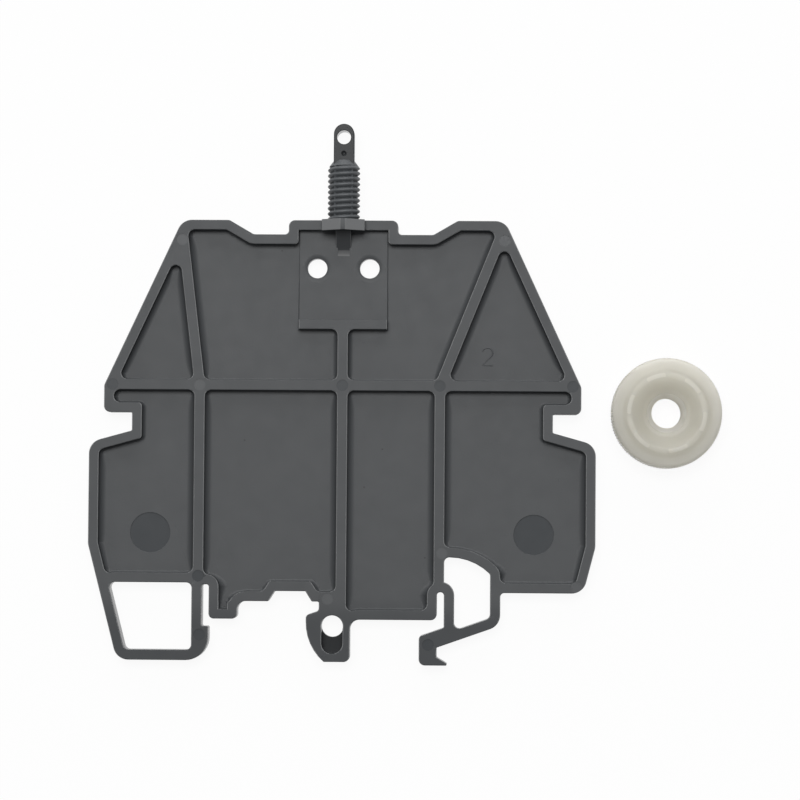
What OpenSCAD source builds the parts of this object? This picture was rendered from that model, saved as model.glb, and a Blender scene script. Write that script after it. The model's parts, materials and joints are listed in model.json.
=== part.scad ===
// Terminal block end cover: one ribbed moulding that snaps onto a mounting rail, with a
// threaded stud on its top edge, and the loose knurled nut that screws onto the stud.
// The cover lies on its flat back with its ribs up. X runs along the rail's width, Y points
// from the rail to the stud, and the back is at Z = 0. The origin is on the stud's axis,
// midway between the rail seat and the top edge. Heights are measured from the rail seat.

/* [Plate] */
// Height from the rail seat to the top edge
plate_h = 58.6; // [54:0.1:64]
// Width below the side notches
plate_w = 74.4; // [72:0.1:80]
// Width above the side notches
shoulder_w = 70.1; // [66:0.1:74]
// Width of the top edge between its two corners
top_w = 47.5; // [44:0.1:52]
// Thickness over the rim and the ribs
plate_t = 3; // [2.4:0.1:4]
// Thickness of the floor of the pockets
floor_t = 1.6; // [1:0.1:2]
// Width of the rim around the outline
rim_w = 1.45; // [1.1:0.05:1.8]
// Fillet in the corners of the pockets
pocket_r = 0.9; // [0.2:0.05:0.95]

/* [Top edge] */
// Width of the raised middle that carries the stud
crown_w = 16.1; // [14.5:0.1:18]
// Depth of the dips on both sides of the raised middle
dip_depth = 2.1; // [1:0.1:3]
// Width of the flat bottom of one dip
dip_w = 5.15; // [4:0.05:6]
// Run of the slope at the outer end of a dip
dip_run = 3.6; // [2:0.1:4.5]

/* [Sides] */
// Height at which the slanted upper sides end
shoulder_h = 34.2; // [33:0.1:36]
// Height of the notch's upper edge
notch_h = 30.2; // [29:0.1:31]
// Width between the inner walls of the two notches
notch_w = 61.8; // [58:0.1:64]
// Height of a notch at its inner wall
notch_gap = 2.7; // [1.5:0.1:4]
// Slope of the ledge under a notch
ledge_angle = 15.5; // [5:0.5:25]
// Height at which the lower sides start to taper
taper_h = 10.8; // [9:0.1:14]
// Slope of the tapered lower sides
taper_angle = 14.5; // [10:0.5:18]
// Height of the lower edge to the right of the spring foot
skirt_h = 4.05; // [3:0.05:5]

/* [Ribs] */
// Width of the ribs
rib_w = 1.55; // [1.2:0.05:2]
// Height of the cross rib
cross_rib_h = 34.3; // [33.5:0.1:36]

/* [Rail and feet] */
// Width of the mounting rail
rail_w = 35; // [34:0.1:36]
// Play of the rail between its two stops
rail_play = 0.5; // [0.2:0.05:0.8]
// Distance of the rail's middle from the stud's axis, to the left
rail_shift = 2.65; // [2:0.05:3.2]
// Room for the rail's flange under the seat
flange_gap = 1.1; // [0.9:0.05:1.6]
// Thickness of the bars of both feet
bar_w = 1.5; // [1.2:0.05:1.8]
// Width of the slots that free the feet from the plate
slot_w = 1.03; // [0.7:0.01:1.3]
// Height of the left slot
left_slot_h = 5; // [4:0.1:5.2]
// Height of the upper edge of the left foot's window
left_window_h = 5.25; // [5:0.05:6.5]
// Height of the slot beside the spring foot
spring_slot_h = 4.1; // [3:0.1:5]
// Depth of the left foot below the rail seat
left_foot_drop = 6.1; // [5:0.1:8]
// Reach of the left foot's hook under the rail
left_hook_reach = 1; // [0.6:0.1:1.4]
// Width of the small foot beside the left slot
toe_w = 4.17; // [3.9:0.01:5]
// Rise of the lower edge above the rail seat between the toe and the groove
relief_h = 2.6; // [2:0.1:3.4]

/* [Spring foot] */
// Distance of the foot's outer side from the rail stop
spring_w = 8.25; // [7.5:0.05:9.5]
// Slope of the spring arm
arm_angle = 19.5; // [15:0.5:23]
// Depth of the arm at the hook
arm_drop = 2.9; // [2.4:0.1:3.4]
// Depth of the hook below the rail seat
hook_drop = 6.6; // [6:0.1:8]
// Width of the hook's body
hook_w = 2.6; // [2:0.1:3.2]
// Reach of the pulling spike beside the hook
spike_reach = 1.5; // [0.8:0.1:2]
// Height of the window's upper edge
window_h = 9.2; // [8.6:0.1:10.5]
// Radius of the window's arched upper edge
window_arch_r = 8.5; // [8:0.1:11]

/* [Middle foot] */
// Depth of the middle foot below the rail seat
middle_drop = 6.2; // [5:0.1:7]
// Distance of its right wall from the stud's axis
middle_right_x = 1.35; // [0.6:0.05:2]
// Distance of the groove's wall from the stud's axis, to the left
groove_x = 3.2; // [3:0.05:3.6]
// Height of the opening of the groove
groove_gap = 1.35; // [1:0.05:1.7]
// Reach of the middle foot's hook past the groove's wall
middle_hook_reach = 1.9; // [1.3:0.05:2.2]
// Diameter of the screwdriver hole in the middle foot
key_hole_d = 3.2; // [2.4:0.1:3.3]
// Distance of that hole from the rail seat
key_hole_drop = 1; // [0.6:0.1:1.6]
// Distance of that hole from the middle foot's right wall
key_hole_inset = 2.6; // [2.2:0.05:2.8]
// Length of the blind channel below that hole
key_channel = 2.5; // [1:0.1:3.2]
// Thickness left under the channel
key_floor_t = 1; // [0.6:0.1:1.4]

/* [Stud] */
// Major diameter of the stud's thread
thread_d = 4.75; // [4:0.05:5.2]
// Length of the thread
thread_l = 8.8; // [6:0.05:12]
// Width across the flats of the hexagonal collar
collar_af = 6.3; // [5.5:0.1:7]
// Length of the collar
collar_l = 1.65; // [1.2:0.05:2.2]
// Width of the eye tab above the thread
tab_w = 3; // [2.6:0.1:3.4]
// Thickness of the eye tab
tab_t = 2.6; // [2:0.1:3.2]
// Length of the eye tab above the thread
tab_l = 5.35; // [5:0.05:8]
// Diameter of the eye
eye_d = 2.05; // [1.4:0.05:2.2]
// Distance of the eye from the end of the tab
eye_drop = 2; // [1.6:0.1:3]

/* [Pad] */
// Length of the pad below the rim, with its bar
pad_l = 14.6; // [13:0.1:16]
// Rise of the pad above the floor
pad_rise = 0.3; // [0.1:0.05:0.6]
// Width of the bar that closes the pad
pad_bar_w = 1.45; // [0.8:0.05:1.6]
// Diameter of the two screw holes
screw_d = 2.9; // [2.4:0.1:3.2]
// Distance between the two screw holes
screw_pitch = 7.7; // [7:0.1:8.5]
// Distance of the screw holes from the top edge
screw_drop = 7; // [6.5:0.05:8]
// Diameter of the shallow countersinks
sink_d = 4.8; // [3.6:0.1:5]
// Width of the gusset under the collar
gusset_w = 2.2; // [1.6:0.1:3]
// Length of the gusset below the rim
gusset_l = 2.85; // [1.5:0.05:3.2]

/* [Ejector marks] */
// Diameter of the marks on the ribs
pin_d = 1.7; // [1:0.1:1.9]
// Diameter of the two marks on the floor
floor_pin_d = 5.9; // [4:0.1:8]
// Depth of the marks
pin_depth = 0.1; // [0.05:0.01:0.2]

/* [Nut] */
// Diameter over the knurl
nut_d = 16.2; // [14:0.1:20]
// Height of the knurled rim
nut_h = 4.2; // [3:0.1:7]
// Overlap of the nut's thread with the stud's, over the diameter
thread_bite = 0.35; // [0.2:0.05:0.7]
// Diameter of the raised lip around the dish, at its crest
lip_d = 11; // [9:0.1:12]
// Height of the lip above the rim
lip_h = 0.35; // [0.2:0.05:0.6]
// Depth of the dish inside the lip, below the rim
dish_depth = 0.6; // [0.3:0.1:1.2]
// Number of knurl teeth
knurl_n = 120; // [60:2:140]
// Depth of the knurl
knurl_depth = 0.14; // [0.08:0.02:0.2]
// Number of raised pads on the lip
lip_pads = 6; // [3:1:8]
// Gap between the cover's side and the loose nut
nut_gap = 2.2; // [1:0.05:20]
// Height of the loose nut's middle above the rail seat
nut_above_seat = 30.5; // [0:0.5:60]

/* [Hidden] */
cover_colour = "#58595b";
nut_colour = "#d8d5c9";

// Overlap that makes cuts pass through and joined solids fuse
eps = 0.05;
// Largest step of a rounded corner, in degrees
arc_step = 9;
// Share of an edge that the roundings at its two ends may take together
corner_room = 0.98;

// Radii of the outline's corners
r_soft = 2.2;
r_edge = 0.9;
r_small = 0.6;
r_tight = 0.25;
r_none = 0;
left_heel_r = 3.3;
toe_r = 0.75;
relief_r = 1.3;
middle_root_r = 1.45;
window_r = 0.8;

// Heights of the outline's edges
y_seat = -plate_h / 2;
y_top = plate_h / 2;
y_dip = y_top - dip_depth;
y_shoulder = y_seat + shoulder_h;
y_notch = y_seat + notch_h;
y_ledge = y_notch - notch_gap - (plate_w - notch_w) / 2 * tan(ledge_angle);
y_taper = y_seat + taper_h;
y_skirt = y_seat + skirt_h;
y_flange = y_seat - flange_gap;
y_left_foot = y_seat - left_foot_drop;
y_left_slot = y_seat + left_slot_h;
y_spring_slot = y_seat + spring_slot_h;
y_hook = y_seat - hook_drop;
y_middle = y_seat - middle_drop;
y_relief = y_seat + relief_h;
y_cross = y_seat + cross_rib_h;

// Rail stops, and the sides of the feet that follow from them
x_left_stop = -rail_shift - (rail_w + rail_play) / 2;
x_right_stop = -rail_shift + (rail_w + rail_play) / 2;
x_toe = x_left_stop + slot_w;
x_spring_out = x_right_stop + spring_w;
x_hook = x_right_stop - slot_w;
x_groove = -groove_x;
x_middle_tip = x_groove - middle_hook_reach;

// Radius inside the rim where the outline turns inwards, at the dips and the notches
inner_r = 0.6;

// The lower ribs run into the legs of the feet, and the right slanted rib leans inwards
left_rib_shift = 0.2;
right_rib_lean = 0.3;
x_left_rib = x_left_stop - rib_w / 2 + left_rib_shift;
x_right_rib = x_right_stop - rib_w / 2;

// Trapezoid cut above the relief, between the toe and the groove
trapezoid_rise = 1.5;
trapezoid_run = 0.95;
trapezoid_w = 6.4;
x_trapezoid = x_groove - 1.05;

// Spike of the spring foot and left curve of the middle foot
spike_root = 1.2;
spike_t = 0.3;
middle_flat_x = -2.45;
middle_bow_r = 7.6;
middle_tip_drop = 0.25;
middle_lip_slope = 0.65;

// Width of the far end of the blind channel, as a share of its hole
channel_taper = 0.96;

// Stud axis: the thread's back lies just above the cover's back
z_stud = thread_d / 2 + eps / 2;
collar_rise = 0.05;
y_collar = y_top + collar_rise;
y_thread_end = y_collar + thread_l;
lead_in = 1.2;
collar_flat = 0.7;
collar_corner = collar_af / 2 / cos(30);

// Pad, with a fine groove between it and the inside of the raised middle
crown_inside = crown_w - 2 * rim_w;
pad_groove = 0.1;
pad_w = crown_inside - 2 * pad_groove;
y_pad_top = y_top - rim_w;
y_pad_bar = y_pad_top - pad_l;
z_pad = floor_t + pad_rise;
y_screws = y_top - screw_drop;
sink_depth = 0.15;
gusset_relief = 1;
gusset_relief_w = 0.8 * gusset_w;

// Places of the ejector marks
pin_side = 1.25;
floor_pin_x = plate_w / 2 - 9;
floor_pin_h = 12.55;

// Nut
nut_x = plate_w / 2 + nut_gap + nut_d / 2;
nut_bore_d = thread_d - thread_bite;
dish_d = 9.6;
dish_floor_d = 6.8;
mouth_chamfer = 0.65;
lip_crest = 0.8;
lip_slope = 0.55;
pad_share = 0.55;
pad_turn = 0.75;
pad_h = 0.1;
pad_band = 0.6;

function unit(v) = v / norm(v);
function xy(p) = [p.x, p.y];
function flip_x(path) = [for (i = [len(path) - 1:-1:0]) [-path[i].x, path[i].y, path[i].z]];

// Points on an arc about a centre, as corners without a radius of their own
function arc(centre, r, from, to) =
    let (n = max(2, ceil(abs(to - from) / arc_step)))
    [for (i = [0:n]) let (a = from + (to - from) * i / n) [centre.x + r * cos(a), centre.y + r * sin(a), 0]];

// Points on an arc of radius r from a to b, bulging to the left of that direction
function bow(a, b, r) =
    let (
        d = b - a,
        half = asin(norm(d) / 2 / r),
        heading = atan2(d.y, d.x),
        centre = (a + b) / 2 - r * cos(half) * [-sin(heading), cos(heading)]
    )
    arc(centre, r, heading + 90 + half, heading + 90 - half);

// Half of the angle between the two edges that meet at p
function half_angle(a, p, b) =
    acos(max(-1, min(1, unit(xy(a) - xy(p)) * unit(xy(b) - xy(p))))) / 2;

// Length of edge that a corner's radius takes on either side of it
function corner_run(a, p, b) = let (half = half_angle(a, p, b)) half > 89 ? 0 : p.z / tan(half);

// Share of an edge that is left when the corners at its two ends want more than all of it
function edge_share(length, wanted) = min(1, corner_room * length / max(wanted, 0.001));

// One corner of a path, rounded over a given run of its edges
function corner(a, p, b, run) =
    let (
        u = unit(xy(a) - xy(p)),
        w = unit(xy(b) - xy(p)),
        half = half_angle(a, p, b),
        r = run * tan(half)
    )
    r < 0.01 || half > 89 ? [xy(p)] :
    let (
        centre = xy(p) + unit(u + w) * r / sin(half),
        first = xy(p) + u * run - centre,
        last = xy(p) + w * run - centre,
        from = atan2(first.y, first.x),
        turn = (atan2(last.y, last.x) - from + 540) % 360 - 180,
        n = max(2, ceil(abs(turn) / arc_step))
    )
    [for (i = [0:n]) let (t = from + turn * i / n) centre + r * [cos(t), sin(t)]];

// A closed path of [x, y, radius] corners as polygon points
function rounded(path) =
    let (
        n = len(path),
        before = [for (i = [0:n - 1]) path[(i + n - 1) % n]],
        after = [for (i = [0:n - 1]) path[(i + 1) % n]],
        runs = [for (i = [0:n - 1]) corner_run(before[i], path[i], after[i])],
        shares = [
            for (i = [0:n - 1]) edge_share(norm(xy(after[i]) - xy(path[i])), runs[i] + runs[(i + 1) % n])
        ]
    )
    [
        for (i = [0:n - 1])
            each corner(before[i], path[i], after[i], runs[i] * min(shares[i], shares[(i + n - 1) % n]))
    ];

// Half width of the tapered lower sides at a height
function taper_x(y) = plate_w / 2 - (y_taper - y) * tan(taper_angle);
// Inner side of the left foot's slanted bar
function left_bar_x(y) = -taper_x(y) + bar_w / cos(taper_angle);
// Upper edge of the spring arm, where it bears on the rail
function arm_top(x) = y_flange + (x - x_right_stop) * tan(arm_angle);
// Lower edge of the spring arm
function arm_low(x) = y_flange - arm_drop + (x - x_hook) * tan(arm_angle);

// Upper half of the outline, right side, from the raised middle down to the taper. The radii
// at the dips and the notches are given as shares, so that a sharp copy can be drawn too.
function upper_side(soft) = [
    [crown_w / 2, y_top, r_edge],
    [crown_w / 2, y_dip, r_small * soft],
    [crown_w / 2 + dip_w, y_dip, r_edge],
    [crown_w / 2 + dip_w + dip_run, y_top, r_edge],
    [top_w / 2, y_top, r_soft],
    [shoulder_w / 2, y_shoulder, r_edge],
    [shoulder_w / 2, y_notch, r_edge],
    [notch_w / 2, y_notch, r_tight * soft],
    [notch_w / 2, y_notch - notch_gap, r_tight * soft],
    [plate_w / 2, y_ledge, r_soft],
    [plate_w / 2, y_taper, r_soft],
];

// Lower edge right of the rail, the spring foot and its slot
function spring_side() = [
    [taper_x(y_skirt), y_skirt, r_soft],
    [x_spring_out, y_skirt, r_small],
    [x_spring_out, arm_low(x_spring_out), r_soft],
    [x_hook, arm_low(x_hook), r_tight],
    [x_hook, y_hook + spike_root, r_tight],
    [x_hook + spike_reach, y_hook + spike_t, r_tight],
    [x_hook + spike_reach, y_hook, r_tight],
    [x_hook - hook_w, y_hook, r_edge],
    [x_hook - hook_w, arm_top(x_hook - hook_w), r_small],
    [x_right_stop, arm_top(x_right_stop), r_tight],
    [x_right_stop, y_spring_slot, slot_w / 2],
    [x_hook, y_spring_slot, slot_w / 2],
    [x_hook, y_seat, r_edge],
];

// Middle foot with its hook and the groove above it
function middle_foot() = concat(
    [
        [middle_right_x, y_seat, middle_root_r],
        [middle_right_x, y_middle, r_edge],
    ],
    bow([middle_flat_x, y_middle], [x_middle_tip, y_seat - middle_tip_drop], middle_bow_r),
    [
        [x_middle_tip, y_relief - groove_gap - middle_lip_slope, r_small],
        [x_groove, y_relief - groove_gap, r_small],
        [x_groove, y_relief, r_tight],
    ]
);

// Edge between the groove and the toe, and the toe itself
function toe_edge() = [
    [x_trapezoid, y_relief, r_tight],
    [x_trapezoid - trapezoid_run, y_relief + trapezoid_rise, r_none],
    [x_trapezoid - trapezoid_w + trapezoid_run, y_relief + trapezoid_rise, r_none],
    [x_trapezoid - trapezoid_w, y_relief, r_tight],
    [x_toe + toe_w, y_relief, relief_r],
    [x_toe + toe_w, y_seat, toe_r],
    [x_toe, y_seat, toe_r],
];

// Left foot: its slot, its hook and its slanted outer side
function left_foot() = [
    [x_toe, y_left_slot, slot_w / 3],
    [x_left_stop, y_left_slot, slot_w / 3],
    [x_left_stop, y_flange, r_tight],
    [x_left_stop + left_hook_reach, y_flange, r_tight],
    [x_left_stop + left_hook_reach, y_left_foot, left_heel_r],
    [-taper_x(y_left_foot), y_left_foot, r_soft],
];

function outline(soft) = concat(
    upper_side(soft), spring_side(), middle_foot(), toe_edge(), left_foot(), flip_x(upper_side(soft))
);

// Window in the left foot
function left_window() =
    let (top = y_seat + left_window_h, bottom = y_left_foot + bar_w, leg = x_left_stop - bar_w)
    [
        [left_bar_x(top), top, window_r],
        [leg, top, window_r],
        [leg, bottom, window_r],
        [left_bar_x(bottom), bottom, window_r],
    ];

// Window in the spring foot, arched above and around the end of the spring slot
function spring_window() =
    let (
        top = y_seat + window_h,
        arch = [x_right_stop + window_r, top - window_arch_r],
        right = x_spring_out - bar_w,
        bend = [x_right_stop - slot_w / 2, y_spring_slot - slot_w / 2],
        bend_r = slot_w / 2 + bar_w,
        leg = x_right_stop + bar_w,
        arm = bar_w / cos(arm_angle)
    )
    concat(
        arc([x_right_stop + window_r, top - window_r], window_r, 180, 90),
        arc(arch, window_arch_r, 90 - arc_step, acos((right - arch.x) / window_arch_r) + arc_step),
        [
            [right, arch.y + sqrt(window_arch_r ^ 2 - (right - arch.x) ^ 2), r_small],
            [right, arm_low(right) + arm, window_r],
            [leg, arm_low(leg) + arm, window_r],
        ],
        arc(bend, bend_r, 0, acos(slot_w / 2 / bend_r))
    );

// Shape of the plate from above, with the dips and notches sharp where soft is 0
module silhouette(soft = 1) {
    difference() {
        polygon(rounded(outline(soft)));
        polygon(rounded(left_window()));
        polygon(rounded(spring_window()));
    }
}

// A rib seen from above, from one point to another
module strip(from, to) {
    side = unit([to.y - from.y, from.x - to.x]) * rib_w / 2;
    polygon([from + side, to + side, to - side, from - side]);
}

module ribs() {
    strip([-shoulder_w / 2, y_cross], [shoulder_w / 2, y_cross]);
    strip([0, y_pad_bar + pad_bar_w / 2], [0, y_seat]);
    strip([x_left_rib, y_cross], [x_left_rib, y_left_slot]);
    strip([x_right_rib, y_cross], [x_right_rib, y_spring_slot]);
    strip([x_left_rib, y_cross], [-top_w / 2, y_top - rim_w]);
    strip([x_right_rib, y_cross], [top_w / 2 - right_rib_lean, y_top - rim_w]);
}

module pad_bar() {
    translate([-pad_w / 2, y_pad_bar]) square([pad_w, pad_bar_w]);
}

// Solid root of the middle foot, beside the groove
module foot_root() {
    translate([x_groove - rim_w, y_middle]) square([rim_w - x_groove, y_relief + rim_w - y_middle]);
}

// Narrow end of the pocket above the toe
module toe_pocket() {
    translate([x_toe + rim_w, y_seat + rim_w]) square([toe_w - 2 * rim_w, relief_h]);
}

// Sharp upper end of the pocket inside the raised middle
module crown_pocket() {
    translate([-crown_inside / 2, y_pad_top - 2 * pocket_r]) square([crown_inside, 2 * pocket_r]);
}

// What lies inside the rim, with small fillets where the outline turns inwards
module inside_rim() {
    offset(r = -inner_r, $fn = 32) offset(delta = inner_r - rim_w) silhouette(0);
}

// What is sunk between the rim and the ribs, with filleted corners
module pockets() {
    offset(r = pocket_r, $fn = 32) offset(delta = -pocket_r) difference() {
        inside_rim();
        ribs();
        pad_bar();
        foot_root();
    }
    toe_pocket();
    crown_pocket();
}

module plate() {
    difference() {
        linear_extrude(plate_t) silhouette();
        translate([0, 0, floor_t]) linear_extrude(plate_t) pockets();
    }
}

// Low pad under the stud
module pad() {
    translate([-pad_w / 2, y_pad_bar, floor_t - eps]) cube([pad_w, pad_l + eps, pad_rise + eps]);
}

// Sloping web from the collar down to the pad
module gusset() {
    rise = z_stud + collar_af / 4;
    rotate([90, 0, 90]) translate([0, 0, -gusset_w / 2]) linear_extrude(gusset_w)
        polygon([[y_pad_top + eps, floor_t], [y_pad_top + eps, rise], [y_pad_top - gusset_l, floor_t]]);
}

// Shallow ramp that the end of the gusset leaves in the pad
module gusset_cut() {
    far = y_pad_top - gusset_l;
    near = far + gusset_relief / 2;
    rotate([90, 0, 90]) translate([0, 0, -gusset_relief_w / 2]) linear_extrude(gusset_relief_w)
        polygon([[near, floor_t], [far, floor_t], [far - gusset_relief, z_pad + eps], [near, z_pad + eps]]);
}

// Places a solid that is drawn along Z onto the stud's axis, from a height upwards
module on_stud(y) {
    translate([0, y, z_stud]) rotate([-90, 0, 0]) children();
}

module collar() {
    flat_cut = collar_flat / 2 / tan(60);
    y0 = y_collar - collar_l;
    intersection() {
        on_stud(y0) rotate([0, 0, 90]) cylinder(r = collar_corner, h = collar_l, $fn = 6);
        translate([-collar_af, y0 - eps, 0])
            cube([2 * collar_af, collar_l + 2 * eps, z_stud + collar_corner - flat_cut]);
    }
}

module stud() {
    on_stud(y_collar - eps) cylinder(d = thread_d, h = thread_l - lead_in + eps, $fn = 64);
    on_stud(y_thread_end - lead_in) cylinder(d1 = thread_d, d2 = tab_w, h = lead_in, $fn = 64);
}

module eye_tab() {
    y_end = y_thread_end + tab_l;
    y_round = y_end - tab_w / 2;
    difference() {
        translate([0, 0, z_stud - tab_t / 2]) {
            translate([-tab_w / 2, y_thread_end - lead_in, 0])
                cube([tab_w, y_round - y_thread_end + lead_in, tab_t]);
            translate([0, y_round, 0]) cylinder(d = tab_w, h = tab_t, $fn = 48);
        }
        translate([0, y_end - eye_drop, -eps]) cylinder(d = eye_d, h = 2 * z_stud, $fn = 48);
    }
}

module screw_holes() {
    for (side = [-1, 1]) translate([side * screw_pitch / 2, y_screws, 0]) {
        translate([0, 0, -eps]) cylinder(d = screw_d, h = plate_t, $fn = 48);
        translate([0, 0, z_pad - sink_depth])
            cylinder(d1 = screw_d, d2 = sink_d, h = sink_depth + eps, $fn = 48);
    }
}

// Hole for a screwdriver in the middle foot, with a blind channel below it
module key_hole() {
    translate([middle_right_x - key_hole_inset, y_seat - key_hole_drop, 0]) {
        translate([0, 0, -eps]) cylinder(d = key_hole_d, h = plate_t + 2 * eps, $fn = 48);
        translate([0, 0, key_floor_t]) linear_extrude(plate_t) hull() {
            circle(d = key_hole_d - 2 * eps, $fn = 48);
            translate([0, -key_channel]) circle(d = key_hole_d * channel_taper, $fn = 48);
        }
    }
}

// Shallow round marks left by the ejector pins
module pin_marks() {
    places = [
        [-top_w / 2, y_top - 2 * rim_w],
        [top_w / 2, y_top - 2 * rim_w],
        [-shoulder_w / 2 + pin_side, y_cross],
        [x_left_rib, y_cross],
        [0, y_cross],
        [x_right_rib, y_cross],
        [shoulder_w / 2 - pin_side, y_cross],
        [x_left_rib, y_left_slot + pin_side],
        [x_groove + pin_side, y_relief + pin_side / 3],
        [x_right_rib + pin_side / 3, y_seat + window_h + pin_side / 2],
        [taper_x(y_skirt) - 0.8 * pin_side, y_skirt + 0.7 * pin_side],
        [x_left_stop - pin_side / 4, y_flange - pin_side],
        [x_hook - pin_side, y_flange - 2 * pin_side],
    ];
    for (p = places) translate([p.x, p.y, plate_t - pin_depth]) cylinder(d = pin_d, h = plate_t, $fn = 32);
    for (side = [-1, 1]) translate([side * floor_pin_x, y_seat + floor_pin_h, floor_t - pin_depth])
        cylinder(d = floor_pin_d, h = plate_t, $fn = 64);
}

module end_cover() {
    color(cover_colour) difference() {
        union() {
            plate();
            difference() {
                pad();
                gusset_cut();
            }
            gusset();
            collar();
            stud();
            eye_tab();
        }
        screw_holes();
        key_hole();
        pin_marks();
    }
}

// Rim of the nut with straight knurl teeth
module knurled_rim() {
    r = nut_d / 2;
    linear_extrude(nut_h) polygon([
        for (i = [0:2 * knurl_n - 1])
            let (a = 180 * i / knurl_n, reach = i % 2 == 0 ? r : r - knurl_depth)
            reach * [cos(a), sin(a)]
    ]);
}

// Rounded lip around the dish
module lip() {
    reach = lip_crest / 2 + lip_slope;
    rotate_extrude($fn = 96) polygon([
        [lip_d / 2 - reach, nut_h - eps],
        [lip_d / 2 - lip_crest / 2, nut_h + lip_h],
        [lip_d / 2 + lip_crest / 2, nut_h + lip_h],
        [lip_d / 2 + reach, nut_h - eps],
    ]);
}

// Raised pads, evenly spaced on the lip
module pads() {
    span = 360 / lip_pads;
    for (i = [0:lip_pads - 1]) rotate(span * (i + pad_turn - pad_share / 2))
        translate([0, 0, nut_h + lip_h - eps]) rotate_extrude(angle = span * pad_share, $fn = 96)
            translate([lip_d / 2 - pad_band / 2, 0]) square([pad_band, pad_h + eps]);
}

// Dish, bore and the chamfers at both ends of the bore
module nut_cuts() {
    z_dish = nut_h - dish_depth;
    top = nut_h + lip_h + pad_h + eps;
    translate([0, 0, z_dish]) cylinder(d1 = dish_floor_d, d2 = dish_d, h = dish_depth + lip_h / 2, $fn = 96);
    translate([0, 0, -eps]) cylinder(d = nut_bore_d, h = top + eps, $fn = 64);
    translate([0, 0, z_dish - mouth_chamfer])
        cylinder(d1 = nut_bore_d, d2 = nut_bore_d + 2 * mouth_chamfer, h = mouth_chamfer, $fn = 64);
    translate([0, 0, -eps])
        cylinder(d1 = nut_bore_d + mouth_chamfer, d2 = nut_bore_d, h = mouth_chamfer / 2 + eps, $fn = 64);
}

module knurled_nut() {
    color(nut_colour) translate([nut_x, y_seat + nut_above_seat, 0]) difference() {
        union() {
            knurled_rim();
            lip();
            pads();
        }
        nut_cuts();
    }
}

end_cover();
knurled_nut();
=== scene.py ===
# %% [markdown]
# # A terminal block end cover, dressed for the camera
# The object is one dark grey moulding that snaps onto a mounting rail, and a loose nylon nut that
# screws onto its stud. The CAD model gives every size. This lesson adds what a mould and a light
# tent add: soft edges, filleted pockets, a real thread, the marks of ejector pins, grained plastic
# and milky nylon. Shapes are made in millimetres, because very small numbers upset some mesh tools,
# and turned into metres when a piece is finished.

# %% Load the frame
import json
import math

import bmesh
import bpy
import numpy as np
from mathutils import Matrix, Vector
from mathutils.bvhtree import BVHTree


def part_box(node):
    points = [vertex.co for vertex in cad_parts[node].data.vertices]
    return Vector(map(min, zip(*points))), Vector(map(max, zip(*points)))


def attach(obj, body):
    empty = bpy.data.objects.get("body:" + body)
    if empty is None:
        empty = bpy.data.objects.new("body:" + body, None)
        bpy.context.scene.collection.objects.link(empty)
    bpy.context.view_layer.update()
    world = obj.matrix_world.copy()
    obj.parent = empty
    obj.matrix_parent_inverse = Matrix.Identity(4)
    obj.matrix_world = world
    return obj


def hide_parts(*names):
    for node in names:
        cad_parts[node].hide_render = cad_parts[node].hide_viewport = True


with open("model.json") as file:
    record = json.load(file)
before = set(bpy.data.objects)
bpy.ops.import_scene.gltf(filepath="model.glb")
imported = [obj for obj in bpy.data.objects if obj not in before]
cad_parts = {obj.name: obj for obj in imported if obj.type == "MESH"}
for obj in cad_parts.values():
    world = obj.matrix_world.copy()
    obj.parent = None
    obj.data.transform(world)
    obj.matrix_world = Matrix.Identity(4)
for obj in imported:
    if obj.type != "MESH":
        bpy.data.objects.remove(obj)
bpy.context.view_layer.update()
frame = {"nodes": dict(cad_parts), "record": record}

MM = 0.001
mounts = {m["name"]: Vector(m["pos_m"]) / MM for m in frame["record"]["mounts"]}
mount_sizes = {m["name"]: m["dims"] for m in frame["record"]["mounts"]}
print("CAD nodes:", sorted(frame["nodes"]))

# %% [markdown]
# ## Small helpers for every piece
# A piece starts as a bmesh in millimetres. Modifiers shape it, and are applied at once, so that the
# next step sees plain faces. When it is done it becomes metres, and is fixed to the CAD frame.

# %% Make and shape a piece
def add_object(name, data):
    thing = bpy.data.objects.new(name, data)
    bpy.context.scene.collection.objects.link(thing)
    return thing


def new_object(name, work):
    mesh = bpy.data.meshes.new(name)
    work.to_mesh(mesh)
    work.free()
    return add_object(name, mesh)


def shaped_mesh(thing):
    """The mesh of an object as its modifiers, or its curve's bevel, leave it."""
    bpy.context.view_layer.update()
    return bpy.data.meshes.new_from_object(thing.evaluated_get(bpy.context.evaluated_depsgraph_get()))


def apply_modifiers(thing):
    mesh = shaped_mesh(thing)
    thing.modifiers.clear()
    thing.data = mesh


def carve(thing, operation, tool):
    cut = thing.modifiers.new(operation.lower(), "BOOLEAN")
    cut.operation = operation
    cut.object = tool
    cut.solver = "EXACT"
    cut.material_mode = "TRANSFER"
    apply_modifiers(thing)
    bpy.data.objects.remove(tool)


# %% Settle a finished piece in the frame
def settle(thing, node, sharp_angle):
    thing.data.transform(Matrix.Scale(MM, 4))
    thing.data.shade_smooth()
    thing.data.set_sharp_from_angle(angle=math.radians(sharp_angle))
    even = thing.modifiers.new("even normals", "WEIGHTED_NORMAL")
    even.keep_sharp = True
    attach(thing, "root")
    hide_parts(node)
    print(thing.name, "has", len(thing.data.polygons), "faces")


# %% Ring upon ring of points as a closed mesh
def mesh_of_rings(rings, closed):
    """Joins each ring of points to the next. A closed row joins its last ring to its first."""
    work = bmesh.new()
    grid = [[work.verts.new(point) for point in ring] for ring in rings]
    around = len(grid[0])
    pairs = list(zip(grid, grid[1:]))
    if closed:
        pairs.append((grid[-1], grid[0]))
    for low, high in pairs:
        for i in range(around):
            j = (i + 1) % around
            work.faces.new((low[i], low[j], high[j], high[i]))
    if not closed:
        work.faces.new(grid[0])
        work.faces.new(grid[-1])
    bmesh.ops.recalc_face_normals(work, faces=work.faces)
    return work


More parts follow.
